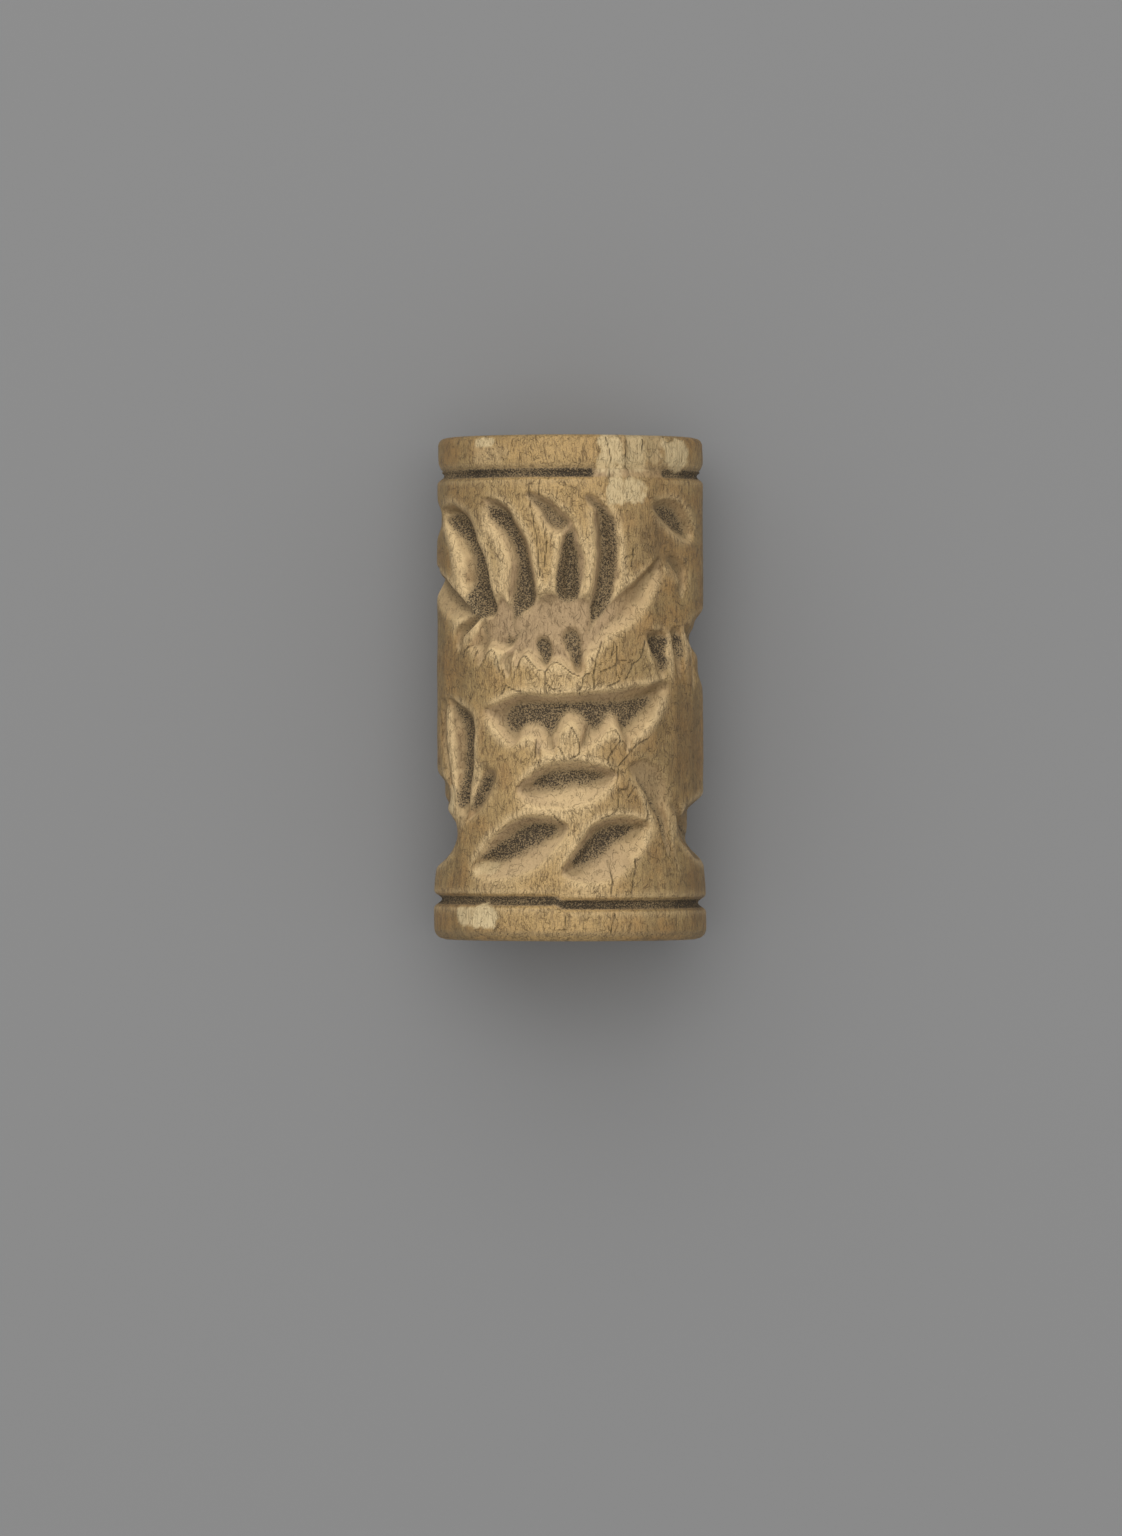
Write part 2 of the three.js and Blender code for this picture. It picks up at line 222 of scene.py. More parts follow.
# The long mouth across the middle, with teeth on its lower edge
MOUTH = [
    recess(
        0.95, 1.0,
        [(-42, 10.8), (-35, 11.1), (-28, 11.4), (-20, 11.7), (-5, 11.6), (5, 11.65), (15, 11.8),
         (25, 12), (35, 12.2), (46, 12.4), (47.5, 11.9), (42, 11), (38, 10), (32, 9.2), (27.5, 9),
         (24.8, 8.5), (22.4, 9.2), (20, 9.6), (17, 9.4), (13.6, 9), (10, 8.6), (7, 8.2), (4.8, 8.4),
         (3.8, 9.2), (1.6, 9.75), (-1.4, 9.75), (-3.8, 9.2), (-5.2, 8.4), (-8, 8.1), (-12, 8.3),
         (-15.4, 8.8), (-18.6, 9), (-22, 9), (-26.5, 8.6), (-33, 9.3), (-39, 10.2)],
        [(-27, 10.7), (-20, 10.95), (-8, 11.05), (0, 11.05), (8, 11), (14, 10.95), (24, 10.95),
         (30, 11.2), (37, 11.35), (32, 10.8), (27, 10.2), (24.8, 9.9), (23, 10.6), (19, 10.85),
         (15.6, 10.7), (14, 10.2), (11, 9.8), (8, 10), (5.6, 10.6), (2, 10.9), (-2, 10.9),
         (-5, 10.4), (-7, 9.8), (-8.8, 9.7), (-11, 10), (-16, 10.3), (-21, 10.1), (-25.6, 9.6),
         (-29, 10)],
    ),
    cut((-7.6, 10.2), (-8.2, 9.2), (-6.6, 8.1), (0.45, 0.4), 0.9, 0.35, 0.45),
    cut((6.4, 10.1), (6.6, 9.3), (5, 8.3), (0.35, 0.45), 0.85, 0.35, 0.45),
    cut((21.4, 10.2), (24, 9.3), (25.4, 8.2), (0.3, 0.3), 0.65, 0.4, 0.3),
    cut((-16, 9.3), (-13.6, 8.5), (-13.4, 7.8), (0.25, 0.25), 0.3, 0.4, 0.2),
]

# The leaf-shaped cuts near the foot
LEAVES = [
    recess(
        1.0, 1.0,
        [(-24.5, 6.1), (-19, 6.9), (-12, 7.5), (-4, 7.75), (5, 7.75), (13, 7.5), (20.8, 7.1),
         (18, 6.3), (13, 5.6), (7, 5.2), (-2, 5), (-12, 5), (-20, 5.3)],
        [(-17, 6.5), (-9, 7), (0, 7.15), (8, 7.1), (14, 6.9), (8, 6.85), (0, 6.75), (-9, 6.5)],
    ),
    recess(
        1.0, 1.1,
        [(-46.5, 1.8), (-40, 2.9), (-33, 3.7), (-26, 4.35), (-18, 4.65), (-10, 4.6), (-4, 4.3),
         (-0.6, 3.9), (-4, 3.1), (-9, 2.1), (-15, 1.5), (-23, 1.1), (-33, 0.9), (-42, 1.1)],
        [(-41, 2.2), (-34, 2.75), (-27, 3.3), (-20, 3.9), (-12, 4.1), (-7, 3.95), (-11, 3.6),
         (-19, 3.25), (-25, 2.75), (-33, 2.4)],
    ),
    recess(
        1.1, 1.1,
        [(-5, 1.3), (0, 2.3), (4.5, 3.3), (9, 4.1), (15, 4.5), (22, 4.65), (29, 4.55), (36.5, 4.2),
         (33.5, 3.1), (29.5, 2.2), (24, 1.3), (16, 0.8), (7, 0.7), (0, 0.9)],
        [(1.5, 1.95), (5, 2.65), (10, 3.3), (16, 3.8), (22, 4), (28, 4), (21, 3.6), (15, 3.1),
         (10, 2.6), (6, 2.15)],
    ),
]

# The eye at the upper right, and the claws at the right and at the lower left
EYE_AND_CLAWS = [
    recess(
        0.6, 1.0,
        [(37, 22.4), (43, 22.8), (50, 22.85), (58, 22.6), (65, 21.8), (69, 20.9), (63, 20.4),
         (56, 20.6), (49, 21.1), (42, 21.7)],
        [(41.5, 22.2), (47, 22.35), (53, 22.05), (58, 21.4), (60, 20.9), (54, 21.1), (48.5, 21.5),
         (44, 21.9)],
    ),
    cut((45.5, 19.5), (51.5, 18.6), (58, 17.2), (0.55, 0.4), 0.55),
    recess(
        0.7, 1.1,
        [(33, 15.4), (38, 15.3), (43, 15.3), (46.5, 15), (46.3, 14), (46.6, 13.2), (45, 12.4),
         (42, 12.6), (39.5, 13.5), (36, 14.3)],
        [(37, 14.8), (43.8, 14.9), (43.8, 14), (44.9, 13.3), (43.2, 13), (41, 13.8), (38, 14.3)],
    ),
    recess(
        0.6, 1.0,
        [(49, 15.4), (53, 15.5), (56.5, 15.2), (57, 13.8), (56, 12.4), (53, 12.8), (50.5, 14.1)],
        [(50.8, 15), (53.5, 15), (54.8, 14), (54, 13.3), (52.4, 14)],
    ),
    cut((60, 15.6), (64, 14.2), (67, 11.8), (0.5, 0.5), 0.6, 0.4),
    recess(
        0.8, 1.0,
        [(-67, 11.4), (-57, 11.1), (-50, 10.8), (-46.2, 10.4), (-45.8, 9), (-46.4, 7.8),
         (-47.6, 6.4), (-48.4, 5.2), (-51, 4.5), (-55, 4.5), (-60, 5.6), (-63, 8), (-65, 10)],
        [(-56, 10.9), (-50, 10.5), (-47.4, 10.2), (-47, 9), (-47.8, 7.5), (-48.9, 6.5),
         (-49.2, 5.4), (-51, 5), (-52.6, 5.6), (-51.4, 7), (-50.6, 8.5), (-50.8, 9.6), (-53, 10.2)],
        0.3, 0.8,
    ),
    cut((-70, 11.4), (-66.5, 9.2), (-61, 5.2), (0.45, 0.45), 0.5, 0.4),
    recess(
        0.65, 1.0,
        [(-41, 7.3), (-36.5, 7.4), (-32.8, 7.1), (-36.4, 5.9), (-42, 4.9), (-49, 4.3), (-53.5, 4.1),
         (-49.4, 5), (-45.5, 5.9)],
        [(-36.4, 7), (-36.9, 6.3), (-40.6, 5.5), (-45.5, 4.9), (-43.4, 5.8), (-39.6, 6.7)],
        0.3, 0.8,
    ),
    recess(
        0.36, 0.4,
        [(25.5, 7.5), (30, 7.95), (36, 7.9), (42, 7.3), (46.5, 6.5), (48, 5.6), (45, 4.9),
         (41, 4.5), (38.5, 4.6), (35.8, 5.3), (33.5, 5.9), (30, 6.5), (27.4, 6.9)],
        [(29, 7.3), (35, 7.2), (40.5, 6.4), (41, 5.6), (38.2, 5.1), (35.8, 5.7), (32.6, 6.4)],
    ),
    cut((29.5, 6.9), (38.4, 4.6), (48.5, 2), (0.5, 0.26), 0.62, 0.42, 1.0),
    cut((48.5, 5.5), (54, 4), (62, 2.7), (0.4, 0.4), 0.5, 0.5, 0.9),
]

# Shallow strokes in the dips at both sides
SIDE_STROKES = [
    cut((60, 5.6), (84, 3.9), (114, 2.6), (0.6, 0.5), 0.13, 0.45, 1.0),
    cut((66, 2.9), (80, 2.3), (98, 2.1), (0.3, 0.3), 0.1, 0.5, 0.7),
    cut((70, 16), (90, 14.9), (112, 15.4), (0.5, 0.4), 0.12, 0.5, 0.9),
    cut((-60, 4.6), (-86, 3.3), (-118, 3.9), (0.5, 0.6), 0.15, 0.5, 1.0),
    cut((-74, 6), (-88, 5.3), (-106, 5.8), (0.3, 0.3), 0.16, 0.5, 0.7),
]

FRONT = FAN + CRESCENT + MOUTH + LEAVES + EYE_AND_CLAWS
FORMS_CUT_DEEPER = PITS + SIDE_STROKES

# The far side repeats the figure in mirror image, plainer and shallower
BACK_LEAST_DEPTH = 0.5
BACK_SHARE = 0.8

# Fine raised lines that the strokes left between them: (places, half width, height)
LIPS = [
    ([(-33.5, 7.1), (-39, 5.7), (-46, 4.6), (-54, 4.1)], 0.16, 0.12),
    ([(-43, 5.9), (-48, 4.9), (-53, 4.3)], 0.13, 0.1),
    ([(48, 10.6), (53, 9.8), (59, 9)], 0.13, 0.09),
    ([(44.5, 4.6), (48.5, 3.2), (53.5, 1.4)], 0.42, 0.13),
    ([(27, 6.8), (31.5, 6), (35, 4.9), (36, 4.2)], 0.2, 0.07),
    ([(47, 15), (48.5, 13.6), (50, 12.3)], 0.25, 0.1),
    ([(57.5, 15), (59.5, 13.6), (60.5, 12.2)], 0.25, 0.1),
    ([(43.5, 19.2), (48.5, 18.4), (50.5, 17.2)], 0.14, 0.08),
]

# Broad swells and dips of the surface: (middle, half size, depth, the outer share that slopes)
HOLLOWS = [
    ((-90, 3.6), (36, 2.1), 1.15, 0.6),
    ((-90, 5.9), (30, 1.4), 0.45, 0.5),
    ((88, 3.9), (38, 2.1), 0.95, 0.5),
    ((90, 15.2), (32, 1.5), 0.5, 0.6),
    ((90, 13.9), (30, 2), 0.3, 0.6),
    ((-95, 21.8), (26, 1.2), 0.25, 0.6),
    ((-55, 12.4), (14, 1.6), 0.12, 1.0),
    ((46, 9.3), (9, 1.4), 0.14, 1.0),
    ((40, 1.4), (8, 1.1), 0.1, 1.0),
    ((-31, 3.9), (7, 0.8), 0.08, 1.0),
    ((55, 17.2), (12, 1.3), 0.12, 1.0),
    ((-40, 20.4), (4, 2.4), -0.08, 1.0),
    ((-58, 19.6), (10, 2), -0.1, 1.0),
]

# The longest cracks, as places along each
CRACKS = [
    [(13.3, 14.6), (11.5, 13.7), (9.6, 12.7), (9.5, 11.8)],
    [(9.6, 12.7), (7, 12.8), (5, 12.6), (4.4, 12.1), (3, 11.8), (4, 11.5)],
    [(18.6, 14.6), (17.5, 13.6)],
    [(20, 14.3), (20.5, 13.3), (18, 13.1), (13, 12.9)],
    [(20.4, 13.3), (20.5, 12.7), (22, 12.4), (15, 12)],
    [(33.5, 14.7), (31.5, 13.7), (27.5, 13.3), (24.5, 12.4)],
    [(20.4, 13.6), (25, 13.5), (27.5, 13.3)],
    [(-10.6, 12.9), (-10.9, 12.2), (-9.6, 11.6)],
    [(-10.8, 12.3), (-8, 12), (-4, 11.8)],
    [(-31, 13), (-29.5, 12.1), (-31, 11.6)],
    [(-24.5, 13), (-22.6, 13.6), (-20.4, 13.8), (-18, 13.5), (-15, 13.1), (-10.8, 12.85)],
    [(-10.2, 12.9), (-8.2, 13.3), (-5.5, 13.4), (-2.5, 13.15), (0.5, 12.85), (4, 12.6)],
    [(-41, 13.4), (-38.5, 14), (-35, 14.2), (-33, 13.6), (-32.4, 12.8)],
    [(-29.5, 12.1), (-24, 11.8), (-18, 11.75)],
    [(-53.2, 13.6), (-51.9, 14.1), (-48.8, 14.4), (-46.2, 14.2), (-47, 13.5)],
    [(-43.6, 13), (-42.2, 13.5), (-40.5, 13.9), (-38.5, 14)],
    [(20, 9.6), (22, 9), (18, 8.3), (16, 7.8), (18, 7.3)],
    [(22, 9), (25, 8.8), (27, 8.3), (24, 7.9), (21, 7.4), (20.4, 6.6), (22, 6)],
    [(27, 8.4), (31, 8.8), (37, 9.1)],
    [(13, 4.5), (17, 4.7), (20.5, 5.1), (21.8, 6), (25.5, 6.2), (26.5, 6.8)],
    [(26, 5.7), (29.3, 6.3)],
    [(34.4, 4.3), (34.6, 5.2), (33, 5.8)],
    [(1, 9.7), (3.6, 9), (4.6, 8.4), (3, 8.1), (0, 7.9)],
    [(-5.5, 8.6), (-3.5, 8.2), (-2.6, 7.8)],
    [(-15, 9), (-15.3, 8), (-13.5, 7.6)],
    [(-9, 5), (-7, 4.5), (-4, 4.1)],
    [(17.8, 2), (17.6, 1), (17, 0.1)],
    [(29, 2.2), (27, 1), (25.5, 0.2)],
    [(-13.2, 23.9), (-13.3, 23)],
    [(-18, 23.4), (-15.6, 21), (-14, 19.2), (-13, 18.4)],
    [(-11.4, 21.6), (-10.8, 20), (-11.8, 18.9)],
    [(24, 19.2), (26, 19.5), (29, 19.6)],
    [(28.5, 20), (28.2, 18.9)],
]
RIM_CRACKS = [
    [(-2, 1.5), (-2.6, 0.6)],
    [(18.6, 1.6), (17.8, 1.1), (17, 0.4)],
    [(16.6, 28.9), (17.6, 27.6), (17, 26.6)],
    [(25, 28.7), (25.6, 27.7), (26.4, 26.9)],
    [(33, 28.8), (34, 27.5)],
]

# Flaked and pale places, in degrees and millimetres up: (middle, half size, depth, paleness)
FLAKES = [
    ((18.6, 27.9), (6.6, 1.5), 0.16, 0.75),
    ((29.5, 28.1), (6, 1.4), 0.24, 0.6),
    ((39, 28.3), (6, 1.1), 0.2, 0.35),
    ((53, 27.9), (11, 1), 0.07, 0.8),
    ((20, 25.8), (4.4, 0.95), 0.06, 0.75),
    ((28.5, 25.85), (6.4, 0.85), 0.06, 0.75),
    ((-38.5, 1.4), (7, 0.72), 0.08, 1.0),
    ((-49.5, 1.45), (6, 0.6), 0.05, 0.8),
    ((-40.5, 4.15), (5.5, 0.42), 0.02, 0.5),
    ((-64.5, 8.1), (4, 0.8), 0.05, 0.6),
    ((-40, 28.6), (6, 0.3), 0.12, 0.8),
    ((-31, 16), (3.5, 0.45), 0.02, 0.3),
]
# Places worn light, places on the right side darkened brown as painted shade, and places stained
# like honey, in degrees and millimetres up
WORN_PLACES = [
    ((-1, 9.3), (17, 4.6)),
    ((2, 7.3), (11, 1.3)),
    ((-6, 15), (14, 1.4)),
    ((-38, 27.9), (12, 1)),
]
RIGHT_SIDE_SHADE_PLACES = [
    ((60, 11.5), (24, 5.5)),
    ((44, 13.6), (9, 2)),
    ((40, 23), (16, 2.4)),
    ((70, 2.6), (22, 2.4)),
]
HONEY_PLACES = [
    ((-62, 27.9), (10, 0.9)),
    ((-42, 11.9), (4, 1.7)),
    ((-62, 17.3), (6, 0.8)),
    ((-30, 9.4), (5, 1)),
]


# Noise, and the far side's forms


def smooth(t):
    """0 up to 0, 1 from 1 on, and an easy slope between them."""
    x = np.clip(t, 0, 1)
    return x * x * (3 - 2 * x)


def wrap_degrees(degrees):
    """The same directions, as -180 to 180."""
    return degrees - 360 * np.round(degrees / 360)


def noise(degrees, height, cell, seed):
    """Smooth noise from -1 to 1 over the skin, which closes on itself all round. Its cells are
    that many millimetres across. The seed picks the pattern."""
    around = max(3, round(GIRTH / cell))
    upward = int(LENGTH / cell) + 4
    lattice = np.random.default_rng(seed).uniform(-1, 1, (around, upward))
    x = (degrees / 360) * around
    y = height / cell + 1
    column = np.floor(x).astype(int)
    row = np.clip(np.floor(y).astype(int), 0, upward - 2)
    across = smooth(x - column)
    up = smooth(y - row)
    left, right = column % around, (column + 1) % around
    low = lattice[left, row] * (1 - across) + lattice[right, row] * across
    high = lattice[left, row + 1] * (1 - across) + lattice[right, row + 1] * across
    return low * (1 - up) + high * up


def fractal(degrees, height, cell, seed, octaves=3):
    """Noise with finer and fainter noise added to it."""
    total = 0
    for octave in range(octaves):
        total = total + noise(degrees, height, cell / 2**octave, seed + octave) / 2**octave
    return total


def mirrored(places):
    return [(180 - degrees, height) for degrees, height in places]


def on_the_back(form):
    """The same form in mirror image on the far side, less deep and less dirty."""
    back = dict(form)
    for quality in ("depth", "dirt"):
        back[quality] = form[quality] * BACK_SHARE
    for part in ("rim", "bed", "line"):
        if part in form:
            back[part] = mirrored(form[part])
    if "walls" in form:
        back["walls"] = form["walls"][::-1]
    return back


# Lines and outlines on the unrolled skin. A curve has this many steps from place to place, and
# its tension is how far it swings past a straight line.
CURVE_STEPS = 5
CURVE_TENSION = 0.36


def unrolled(degrees, drawn_height, middle):
    """Millimetres across and up on the unrolled skin, measured from the middle line."""
    return np.radians(wrap_degrees(degrees - middle)) * BODY_RADIUS, drawn_height * UNIT


def curve(places, middle, closed=False):
    """Points along a smooth curve through the places."""
    corners = np.stack(unrolled(*np.array(places, float).T, middle), axis=-1)
    if closed:
        corners = np.vstack([corners[-1:], corners, corners[:2]])
    else:
        corners = np.vstack([corners[:1], corners, corners[-1:]])
    points = []
    for before, start, end, after in zip(corners, corners[1:], corners[2:], corners[3:]):
        leaving = CURVE_TENSION * (end - before)
        arriving = CURVE_TENSION * (after - start)
        for t in np.arange(CURVE_STEPS) / CURVE_STEPS:
            hold = 2 * t**3 - 3 * t**2 + 1
            points.append(
                hold * start + (1 - hold) * end
                + (t**3 - 2 * t**2 + t) * leaving + (t**3 - t**2) * arriving
            )
    points.append(corners[-2])
    return np.array(points)


def close_to(line, x, y, reach=0.0):
    """True in the box round a line, widened by the reach."""
    low, high = line.min(axis=0) - reach, line.max(axis=0) + reach
    return (x > low[0]) & (x < high[0]) & (y > low[1]) & (y < high[1])


def nearest_on(line, x, y):
    """How far each place is from a line, how far along the line it meets it, and on which side."""
    nearest = np.full(x.shape, np.inf)
    along = np.zeros(x.shape)
    side = np.zeros(x.shape)
    for i, (start, end) in enumerate(zip(line, line[1:])):
        run = end - start
        off_x, off_y = x - start[0], y - start[1]
        t = np.clip((off_x * run[0] + off_y * run[1]) / (run @ run), 0, 1)
        away = np.hypot(off_x - run[0] * t, off_y - run[1] * t)
        nearer = away < nearest
        nearest = np.where(nearer, away, nearest)
        along = np.where(nearer, (i + t) / (len(line) - 1), along)
        side = np.where(nearer, run[0] * off_y - run[1] * off_x, side)
    return nearest, along, side


def inside(outline, x, y):
    """True where a place lies inside a closed outline."""
    odd = np.zeros(x.shape, bool)
    for (x0, y0), (x1, y1) in zip(outline, outline[1:]):
        if y0 != y1:
            crosses = (y0 > y) != (y1 > y)
            odd ^= crosses & (x < x0 + (x1 - x0) * (y - y0) / (y1 - y0))
    return odd


def lines_near(lines, degrees, drawn_height, half_width):
    """1 on any of the lines, fading to 0 that far from them."""
    share = np.zeros(degrees.shape)
    for places in lines:
        middle = places[0][0]
        line = curve(places, middle)
        x, y = unrolled(degrees, drawn_height, middle)
        close = close_to(line, x, y, half_width)
        away = nearest_on(line, x[close], y[close])[0]
        share[close] = np.maximum(share[close], 1 - away / half_width)
    return share


# How much the walls of a recess round over. It is as deep as it says only where the way from its
# rim to its bed is at least this share of its depth.
WALL_CURVE = 1.5
FULL_DEPTH_ROOM = 0.7

# How straight the walls of a stroke are, how soon it opens from its ends, and how much of its
# width is flat bed
WALL_SHARPNESS = 0.6
END_FULLNESS = 0.7
BED_SHARE = 0.12

NEARLY_NOTHING = 1e-6


def carve_recess(form, degrees, drawn_height):
    """The depth of a recess over the skin, and how far down its wall each place is. It is
    shallower where its walls have little room."""
    middle = form["rim"][0][0]
    rim, bed = (curve(form[part], middle, closed=True) for part in ("rim", "bed"))
    x, y = unrolled(degrees, drawn_height, middle)
    close = close_to(rim, x, y)
    x, y = x[close], y[close]
    from_rim = nearest_on(rim, x, y)[0]
    from_bed = np.where(inside(bed, x, y), 0, nearest_on(bed, x, y)[0])
    share = from_rim / (from_rim + from_bed + NEARLY_NOTHING)
    down = np.where(inside(rim, x, y), share, 0)
    room = np.clip((from_rim + from_bed) / (FULL_DEPTH_ROOM * form["depth"]), 0, 1)
    hollow = 1 - (1 - down) ** WALL_CURVE
    section = hollow + form["bulge"] * (smooth(down) - hollow)
    return close, form["depth"] * room * section, down


def opening(along, swell):
    """How open a stroke is along its length, 0 at its ends and 1 at its swell."""
    bent = along ** (math.log(0.5) / math.log(swell))
    return np.maximum(0, np.sin(math.pi * bent)) ** END_FULLNESS


def carve_cut(form, degrees, drawn_height):
    """The depth of one stroke over the skin, and how far down its wall each place is."""
    middle = form["line"][1][0]
    line = curve(form["line"], middle)
    x, y = unrolled(degrees, drawn_height, middle)
    close = close_to(line, x, y, max(form["walls"]))
    nearest, along, side = nearest_on(line, x[close], y[close])
    wide = opening(along, form["swell"])
    wall = np.where(side > 0, form["walls"][0], form["walls"][1]) * wide
    down = np.clip((1 - nearest / np.maximum(wall, NEARLY_NOTHING)) / (1 - BED_SHARE), 0, 1)
    section = WALL_SHARPNESS * down + (1 - WALL_SHARPNESS) * smooth(down)
    return close, form["depth"] * wide * section, down


# How far down a wall the dirt starts
RECESS_DIRT_STARTS = 0.42
CUT_DIRT_STARTS = 0.3


def carved(degrees, drawn_height):
    """The carving's depth over the skin, and how much dirt lies in it."""
    depth = np.zeros(degrees.shape)
    dirt = np.zeros(degrees.shape)
    back = [on_the_back(form) for form in FRONT if form["depth"] >= BACK_LEAST_DEPTH]
    sunk = FORMS_CUT_DEEPER + [on_the_back(form) for form in PITS]
    for form in FRONT + back + sunk:
        if "rim" in form:
            close, its_depth, down = carve_recess(form, degrees, drawn_height)
            starts = RECESS_DIRT_STARTS
        else:
            close, its_depth, down = carve_cut(form, degrees, drawn_height)
            starts = CUT_DIRT_STARTS
        its_dirt = form["dirt"] * smooth((down - starts) / (1 - starts))
        dirt[close] = np.maximum(dirt[close], its_dirt)
        if form in sunk:
            depth[close] += its_depth
        else:
            depth[close] = np.maximum(depth[close], its_depth)
    return depth, dirt


def hollow_depth(hollow, degrees, drawn_height):
    """The depth of one broad dip over the skin."""
    middle, half, depth, edge = hollow
    around = wrap_degrees(degrees - middle[0]) / half[0]
    up = (drawn_height - middle[1]) / half[1]
    return depth * smooth((1 - np.hypot(around, up)) / edge)


# The ragged patches are squarer than an oval. An edge is the share of a patch's size over which
# it fades.
PATCH_SQUARENESS = 3
RAGGEDNESS = 0.24
RAGGED_CELL = 0.55
CRISP_EDGE = 0.25
SOFT_EDGE = 0.7


def patch(middle, half, degrees, height, edge):
    """1 inside a ragged patch of the skin and 0 outside it."""
    ragged = RAGGEDNESS * fractal(degrees, height, RAGGED_CELL, 71, 4)
    around = np.abs(wrap_degrees(degrees - middle[0]) / half[0])
    up = np.abs((height - middle[1]) / half[1])
    power = PATCH_SQUARENESS
    out = (around**power + up**power) ** (1 / power) + ragged
    return smooth((1 - out) / edge)


def stained(places, degrees, height):
    """1 inside any of the patches, with soft edges."""
    share = np.zeros(degrees.shape)
    for middle, half in places:
        share = np.maximum(share, patch(middle, half, degrees, height, SOFT_EDGE))
    return share


def flaked_and_pale(degrees, height):
    """How deep the flakes are over the skin, and how pale it is."""
    flaked = np.zeros(degrees.shape)
    pale = np.zeros(degrees.shape)
    for middle, half, depth, paleness in FLAKES:
        within = patch(middle, half, degrees, height, CRISP_EDGE)
        flaked = np.maximum(flaked, within * depth)
        pale = np.maximum(pale, within * paleness)
    return flaked, pale


# The foot ring was cut in two strokes, which don't quite meet. One starts higher than the other.
STROKES_MEET = -5
MEETING_WIDTH = 3
STROKE_WIDTH = FOOT_RING_WIDTH - 0.1
FIRST_STROKE_BOTTOM = FOOT_RIM_LENGTH + 0.18
SECOND_STROKE_LOWER = 0.22
SHALLOWER_MEETING = 0.4

# The head ring is worn away where the rim has flaked: from and to, in degrees, with the fades
WORN_RING_START, WORN_RING_START_FADE = 8, 4
WORN_RING_END, WORN_RING_END_FADE = 47, 5
WORN_RING_SHARE = 0.75


def ring_depth(height, bottom, width, depth):
    """A groove with a round bed."""
    across = np.clip((height - bottom) / width, 0, 1)
    return depth * np.sqrt(np.sin(math.pi * across))


def foot_ring(degrees, height):
    past_meeting = degrees - STROKES_MEET
    second = smooth((past_meeting + MEETING_WIDTH / 2) / MEETING_WIDTH)
    bottom = FIRST_STROKE_BOTTOM - SECOND_STROKE_LOWER * second
    gap = SHALLOWER_MEETING * np.exp(-((past_meeting / MEETING_WIDTH) ** 2))
    return ring_depth(height, bottom, STROKE_WIDTH, FOOT_RING_DEPTH * (1 - gap))


def head_ring(degrees, height):
    started = smooth((degrees - WORN_RING_START) / WORN_RING_START_FADE)
    not_ended = smooth((WORN_RING_END - degrees) / WORN_RING_END_FADE)
    left = 1 - WORN_RING_SHARE * (started * not_ended)
    return ring_depth(height, FIELD_TOP, HEAD_RING_WIDTH, HEAD_RING_DEPTH * left)


def corner_loss(from_end, rounding):
    """How much the rounded corner of an end takes off the radius."""
    past = np.clip(rounding - from_end, 0, rounding)
    return rounding - np.sqrt(rounding**2 - past**2)


def blank_radius(height):
    """The turned blank before its rings and its carving are cut."""
    foot_loss = corner_loss(height, WORN_FOOT_ROUNDING)
    head_loss = corner_loss(LENGTH - height, RIM_ROUNDING)
    flare = 1 - smooth((height - FIELD_BOTTOM) / FOOT_FLARE_LENGTH)
    radius = BODY_RADIUS + (FOOT_RIM_RADIUS - BODY_RADIUS) * flare
    radius = np.where(height <= FOOT_RIM_LENGTH, FOOT_RIM_RADIUS, radius)
    worn = RIM_SLOPE_DEPTH * smooth(1 - (height - HEAD_RIM_BOTTOM) / RIM_SLOPE)
    radius = np.where(height >= HEAD_RIM_BOTTOM, HEAD_RIM_RADIUS - worn, radius)
    return radius - foot_loss - head_loss


# The worn surface: how high it wanders, all over and on the head rim as well
UNEVEN, UNEVEN_CELL = 0.03, 2.6
HEAD_UNEVEN, HEAD_UNEVEN_CELL = 0.04, 1.1
HEAD_UNEVEN_FADE = 0.5


def unevenness(degrees, height):
    """How far the worn surface lies below the blank."""
    all_over = UNEVEN * fractal(degrees, height, UNEVEN_CELL, 31, 3)
    at_head = HEAD_UNEVEN * fractal(degrees, height, HEAD_UNEVEN_CELL, 35, 2)
    return all_over + at_head * smooth((height - FIELD_TOP) / HEAD_UNEVEN_FADE)


def softened(field, times=1):
    """Wears the edges: each place takes a little of its neighbours' height."""
    for _ in range(times):
        around = (np.roll(field, 1, axis=1) + 2 * field + np.roll(field, -1, axis=1)) / 4
        padded = np.pad(around, ((1, 1), (0, 0)), mode="edge")
        field = (padded[:-2] + 2 * around + padded[2:]) / 4
    return field


# How much dirt lies in the rings, at the foot's edge and in the broad dips, how dark the painted
# shade on the head rim's lower edge is, and how deep a ring or a dip is where the dirt starts
RING_DIRT, RING_DIRT_RANGE, RING_DIRT_CELL = 1.08, 0.2, 3.0
RING_DIRT_STARTS, RING_DIRT_FADE = 0.03, 0.3
HEAD_EDGE_SHADE = 0.55
FOOT_EDGE_DIRT = 0.6
SOILED_FOOT_HEIGHT = 0.4
DIP_DIRT = 0.5
DIP_DIRT_STARTS, DIP_DIRT_FADE = 0.4, 0.6


def ring_dirt_and_head_edge_shade(degrees, height, rings):
    """The dirt in the rings and at the foot's edge, and painted shade on the head rim's lower edge.
    """
    head_edge_shade = HEAD_EDGE_SHADE * smooth(1 - np.abs(height - HEAD_RIM_BOTTOM) / RIM_SLOPE)
    foot_edge = FOOT_EDGE_DIRT * smooth(1 - np.abs(height / SOILED_FOOT_HEIGHT - 1))
    packed = RING_DIRT + RING_DIRT_RANGE * fractal(degrees, height, RING_DIRT_CELL, 61, 2)
    filled = smooth((rings - RING_DIRT_STARTS) / RING_DIRT_FADE)
    return np.maximum(packed * filled, np.maximum(head_edge_shade, foot_edge))


def dip_dirt(dips):
    return DIP_DIRT * smooth((dips - DIP_DIRT_STARTS) / DIP_DIRT_FADE)


